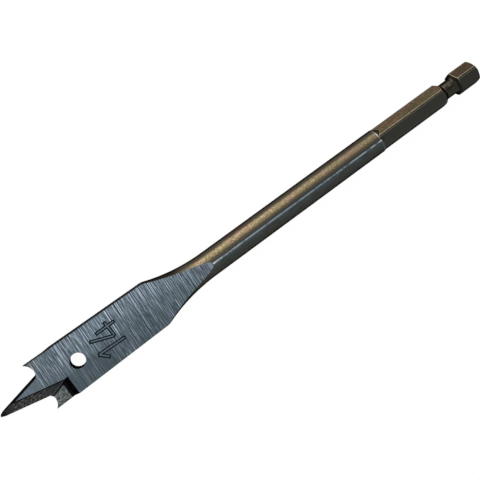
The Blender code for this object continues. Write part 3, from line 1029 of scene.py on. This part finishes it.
    def lip_arc(self):
        """The hollow-ground lip: an arc from its root to just past the spur's tip."""
        root, spur = self.lip_ends()
        chord = spur - root
        hollow = self.blade.lip_hollow
        radius = chord.length**2 / (8 * hollow) + hollow / 2
        ahead = Vector((-chord.y, chord.x)).normalized()
        centre = (root + spur) / 2 + ahead * (radius - hollow)
        start = math.atan2(root.y - centre.y, root.x - centre.x)
        end = math.atan2(spur.y - centre.y, spur.x - centre.x)
        return arc_points(centre.x, centre.y, radius, start, end + OVERCUT / radius, ARC_STEPS)

    def edge_cutter(self):
        """Cuts the point's edge, the hollow lip and the spur of the +Y side, leaning for relief."""
        tip = self.blade.tip_length
        tip_slope = (self.point_edge(tip) - self.blade.tip_width) / tip
        outline = [(-REACH, self.blade.tip_width - REACH * tip_slope), (tip, self.point_edge(tip))]
        outline += self.lip_arc()
        end_x, end_y = outline[-1]
        outline.append((end_x, end_y + REACH))
        outline.append((-REACH, end_y + REACH))

        def leaning(z):
            drop = self.recess_floor - z
            return lambda back, y: (
                from_tip(back + drop * math.tan(self.blade.lip_relief)),
                y - drop * math.tan(self.blade.point_relief),
                z,
            )

        lower = leaning(-self.cutter_top)
        return self.prism("edge_cutter", "edge", outline, lower, leaning(self.cutter_top))

    def bevel_edge(self, distance):
        """Place across the blade where the point's bevel leaves the face."""
        return self.point_edge(distance) - self.blade.bevel_width

    def bevel_height(self, distance, y):
        """Height of the bevel's plane."""
        drop = (y - self.bevel_edge(distance)) * self.bevel_depth / self.blade.bevel_width
        return self.half_thickness - drop

    def ridge_ends(self):
        """Ends of the ridge: at the lip's root, and where it comes up to the face."""
        root, _ = self.lip_ends()
        end_x = self.blade.recess_distance - self.blade.ridge_end_gap
        return root + Vector((0, self.blade.ridge_offset)), Vector((end_x, self.bevel_edge(end_x)))

    def bevel_cutter(self):
        """Cuts the bevel of the +Y side of the point, from above."""
        start, end = self.ridge_ends()
        way = (end - start).normalized()
        aside = Vector((-way.y, way.x)) * OVERCUT
        root = start + aside
        past = end + aside + way * REACH
        outline = [
            (-REACH, self.bevel_edge(-REACH) - REACH),
            (-REACH, self.point_edge(-REACH) + OVERCUT),
            (root.x, root.y),
            (past.x, past.y),
            (past.x, self.bevel_edge(past.x) - REACH),
        ]
        return self.prism(
            "bevel_cutter",
            "bevel",
            outline,
            lambda back, y: (from_tip(back), y, self.bevel_height(back, y)),
            at_height(self.cutter_top),
        )

    def recess_cutter(self):
        """Cuts the recess ahead of the +Y lip: flat floor, sloped back wall and turning side wall."""
        blade = self.blade
        start, end = self.ridge_ends()
        span = (end - start).length
        way = (end - start) / span
        aside = Vector((-way.y, way.x))
        side = self.half_width + REACH
        bottom = self.recess_floor - OVERCUT
        top = self.half_thickness + OVERCUT
        rings = []
        for step in range(WALL_STEPS + 1):
            share = step / WALL_STEPS
            place = share * (span + REACH) - (1 - share) * OVERCUT
            ridge = start + way * place
            height = self.bevel_height(ridge.x, ridge.y)
            run = blade.wall_run_root + (blade.wall_run_back - blade.wall_run_root) * place / span
            slant = aside * run / (height - self.recess_floor)
            low = ridge + slant * (height - bottom)
            high = ridge + slant * (height - top)
            far = share * (blade.recess_distance + REACH) - (1 - share) * REACH
            rings.append([
                (from_tip(low.x), low.y, bottom),
                (from_tip(high.x), high.y, top),
                (from_tip(high.x), high.y, self.cutter_top),
                (from_tip(far), side, self.cutter_top),
                (from_tip(far), side, bottom),
            ])

        side_view = [
            (-REACH, self.recess_floor),
            (self.recess_foot, self.recess_floor),
            (blade.recess_distance + REACH / math.tan(blade.recess_back_slope), self.cutter_top),
            (-REACH, self.cutter_top),
        ]
        far_side = at_width(self.half_width + OVERCUT)
        recess = self.prism("recess_cutter", "recess", side_view, at_width(-side), far_side)
        recess.data.materials.append(self.steels["edge"])
        for face in recess.data.polygons:
            if WALL_NORMAL < abs(face.normal.z) < FLOOR_NORMAL:
                face.material_index = 1
        keep_inside(recess, self.solid("recess_wall_side", "recess", rings, twisted=True))
        return recess

    def hole_cutter(self):
        """The hanging hole in the blade."""
        radius = self.blade.hole_diameter / 2
        outline = arc_points(self.blade.hole_distance, 0.0, radius, 0.0, 2 * math.pi, HOLE_SIDES)[:-1]
        lower = at_height(-self.cutter_top)
        return self.prism("hole_cutter", "edge", outline, lower, at_height(self.cutter_top))

    def mark_cutter(self, name, start, end):
        """One stroke of the size mark: a trough with sloped sides and a flat floor."""
        first = Vector(start) * MM
        last = Vector(end) * MM
        way = (last - first).normalized()
        aside = Vector((-way.y, way.x))

        def corners(half, z):
            past = half - self.blade.mark_pull
            return [
                (from_tip(place.x), place.y, z)
                for place in (
                    first - way * past - aside * half,
                    last + way * past - aside * half,
                    last + way * past + aside * half,
                    first - way * past + aside * half,
                )
            ]

        floor_half = self.blade.mark_floor / 2
        top_half = self.blade.mark_width / 2
        slope = (top_half - floor_half) / self.blade.mark_depth
        floor = corners(floor_half, self.half_thickness - self.blade.mark_depth)
        top = corners(top_half + OVERCUT * slope, self.half_thickness + OVERCUT)
        return self.solid(name, "mark", [floor, top])

    def cut(self, bit, cutter, turned):
        """Cut with a tool, and with its copy half a turn about the axis where turned is true."""
        combine(bit, cutter, "DIFFERENCE")
        self.cutters.append(cutter)
        if turned:
            other = cutter.copy()
            bpy.context.scene.collection.objects.link(other)
            other.matrix_world = Matrix.Rotation(math.pi, 4, Vector((1, 0, 0))) @ cutter.matrix_world
            combine(bit, other, "DIFFERENCE")
            self.cutters.append(other)

    def make(self):
        """Forge, grind and cut the bit, and remove the tools."""
        bit = self.forged_bar()
        shank = self.hex_shank()
        combine(bit, shank, "UNION")
        self.cutters.append(shank)
        for cutter in (
            self.ground_face_cutter(),
            self.side_cutter(),
            self.edge_cutter(),
            self.bevel_cutter(),
            self.recess_cutter(),
            self.seam_cutter(),
        ):
            self.cut(bit, cutter, True)
        self.cut(bit, self.hole_cutter(), False)
        for index, (start, end) in enumerate(SIZE_MARK):
            self.cut(bit, self.mark_cutter("mark_stroke_" + str(index), start, end), False)
        bake(bit)
        for cutter in self.cutters:
            bpy.data.objects.remove(cutter)
        return bit


def part_edges(bit):
    """Shade the bit smooth, with sharp edges at corners and wherever two finishes meet."""
    builder = bmesh.new()
    builder.from_mesh(bit.data)
    for face in builder.faces:
        face.smooth = True
    for edge in builder.edges:
        faces = edge.link_faces
        meets = len(faces) == 2 and faces[0].material_index != faces[1].material_index
        edge.smooth = not (meets or edge.calc_face_angle(0.0) > SHARP_ANGLE)
    builder.to_mesh(bit.data)
    builder.free()


class SPADEBIT_OT_bit(bpy.types.Operator):
    """Make the bit with its finishes in place of the plain model"""

    bl_idname = "spadebit.bit"
    bl_label = "Make Bit"

    def execute(self, context):
        settings = context.scene
        stock = Stock(settings.spadebit_shank, settings.spadebit_blade)
        stock.steels = all_steels(settings.spadebit_colours, stock)
        bit = stock.make()
        if len(bit.data.polygons) < SHAFT_SIDES:
            raise RuntimeError("the cuts left nothing of the bit")
        part_edges(bit)
        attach(bit, "root")
        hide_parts(CAD_NODE)
        return {"FINISHED"}


def white_table(stage):
    """White where it is looked at or mirrored, and a pale matt surface for light and shadow."""
    finish = Finish("white_table", stage.floor, metallic=0.0)
    path = finish.node("ShaderNodeLightPath")
    seen = path.output("Is Camera Ray")
    mirrored = path.output("Is Glossy Ray")
    through = path.output("Is Transmission Ray")
    plain = finish.node("ShaderNodeBsdfDiffuse", {}, {"Color": finish.shade})
    white = finish.node("ShaderNodeEmission", {}, {"Color": (1.0, 1.0, 1.0), "Strength": TABLE_WHITE})
    share = path.maths("MINIMUM", seen + mirrored + through, 1.0) * TABLE_WHITE_SHARE
    mixed = finish.node("ShaderNodeMixShader", {}, {0: share, 1: plain, 2: white})
    finish.tree.links.new(mixed.socket, finish.tree.nodes["Material Output"].inputs["Surface"])
    return finish.material


def table_dish(stage):
    """A flat round table that curves up far behind the bit."""
    profile = [(radius, 0.0) for radius in TABLE_RINGS[:-1]]
    profile += rising_arc(TABLE_RINGS[-1], 0.0, TABLE_CURVE, TABLE_CURVE_TURN, ARC_STEPS)
    builder = bmesh.new()
    rings = []
    for radius, height in profile:
        ring = []
        for side in range(FLOOR_SIDES):
            around = 2 * math.pi * side / FLOOR_SIDES
            point = (radius * math.cos(around), radius * math.sin(around), height)
            ring.append(builder.verts.new(point))
        rings.append(ring)
    builder.faces.new(rings[0])
    for inner, outer in zip(rings, rings[1:]):
        for side in range(FLOOR_SIDES):
            following = (side + 1) % FLOOR_SIDES
            builder.faces.new((inner[side], outer[side], outer[following], inner[following]))
    table = mesh_object("table", builder, white_table(stage))
    table.data.shade_smooth()
    table.location = (CAD_HIGH.x / 2, 0.0, CAD_LOW.z)
    return table


def soft_lamp(name, place, target, size, radiance):
    """A rectangular lamp of a given radiance, turned to a target."""
    lamp = bpy.data.lights.new(name, "AREA")
    lamp.shape = "RECTANGLE"
    lamp.size = size[0]
    lamp.size_y = size[1]
    lamp.energy = radiance * math.pi * size[0] * size[1]
    thing = add_object(name, lamp)
    thing.location = place
    thing.rotation_euler = (Vector(target) - Vector(place)).to_track_quat("-Z", "Y").to_euler()
    thing.visible_camera = False
    return thing


class SPADEBIT_OT_stage(bpy.types.Operator):
    """Set the white table, the lamps, the room's light and the camera"""

    bl_idname = "spadebit.stage"
    bl_label = "Set Stage"

    def execute(self, context):
        scene = context.scene
        stage = scene.spadebit_stage
        table_dish(stage)
        soft_lamp("overhead_lamp", *OVERHEAD_LAMP, stage.overhead_level)
        soft_lamp("side_lamp", *SIDE_LAMP, stage.side_level)

        world = bpy.data.worlds.new("plain_room")
        world.use_nodes = True
        background = world.node_tree.nodes["Background"]
        background.inputs["Color"].default_value = (1.0, 1.0, 1.0, 1.0)
        background.inputs["Strength"].default_value = stage.world_level
        scene.world = world

        lens = bpy.data.cameras.new("camera")
        lens.lens = stage.lens
        lens.sensor_width = FRAME_WIDTH
        lens.shift_x = stage.lens_side
        lens.shift_y = stage.lens_rise
        lens.clip_start = NEAREST
        lens.clip_end = FARTHEST
        camera = add_object("camera", lens)
        camera.location = stage.camera_place
        camera.rotation_euler = Euler(stage.camera_turn, "XYZ")
        scene.camera = camera
        scene.view_settings.view_transform = "Standard"
        return {"FINISHED"}


class SPADEBIT_PT_sidebar(bpy.types.Panel):
    """Lists the steps and their settings in the 3D view's sidebar"""

    bl_idname = "SPADEBIT_PT_sidebar"
    bl_label = "Spade Bit"
    bl_space_type = "VIEW_3D"
    bl_region_type = "UI"
    bl_category = "Spade Bit"

    def draw(self, context):
        layout = self.layout
        layout.operator(SPADEBIT_OT_bit.bl_idname)
        layout.operator(SPADEBIT_OT_stage.bl_idname)
        for pointer in GROUPS:
            group = getattr(context.scene, pointer)
            box = layout.box()
            for name in group.__annotations__:
                box.prop(group, name)


GROUPS = {
    "spadebit_shank": ShankSizes,
    "spadebit_blade": BladeSizes,
    "spadebit_colours": SteelColours,
    "spadebit_stage": StageSettings,
}
CLASSES = (*GROUPS.values(), SPADEBIT_OT_bit, SPADEBIT_OT_stage, SPADEBIT_PT_sidebar)


def register():
    for entry in CLASSES:
        bpy.utils.register_class(entry)
    for pointer, group in GROUPS.items():
        setattr(bpy.types.Scene, pointer, bpy.props.PointerProperty(type=group))


def unregister():
    for pointer in GROUPS:
        delattr(bpy.types.Scene, pointer)
    for entry in reversed(CLASSES):
        bpy.utils.unregister_class(entry)


def main():
    """Make the bit and its stage."""
    register()
    bpy.ops.spadebit.bit()
    bpy.ops.spadebit.stage()


if __name__ == "__main__":
    main()
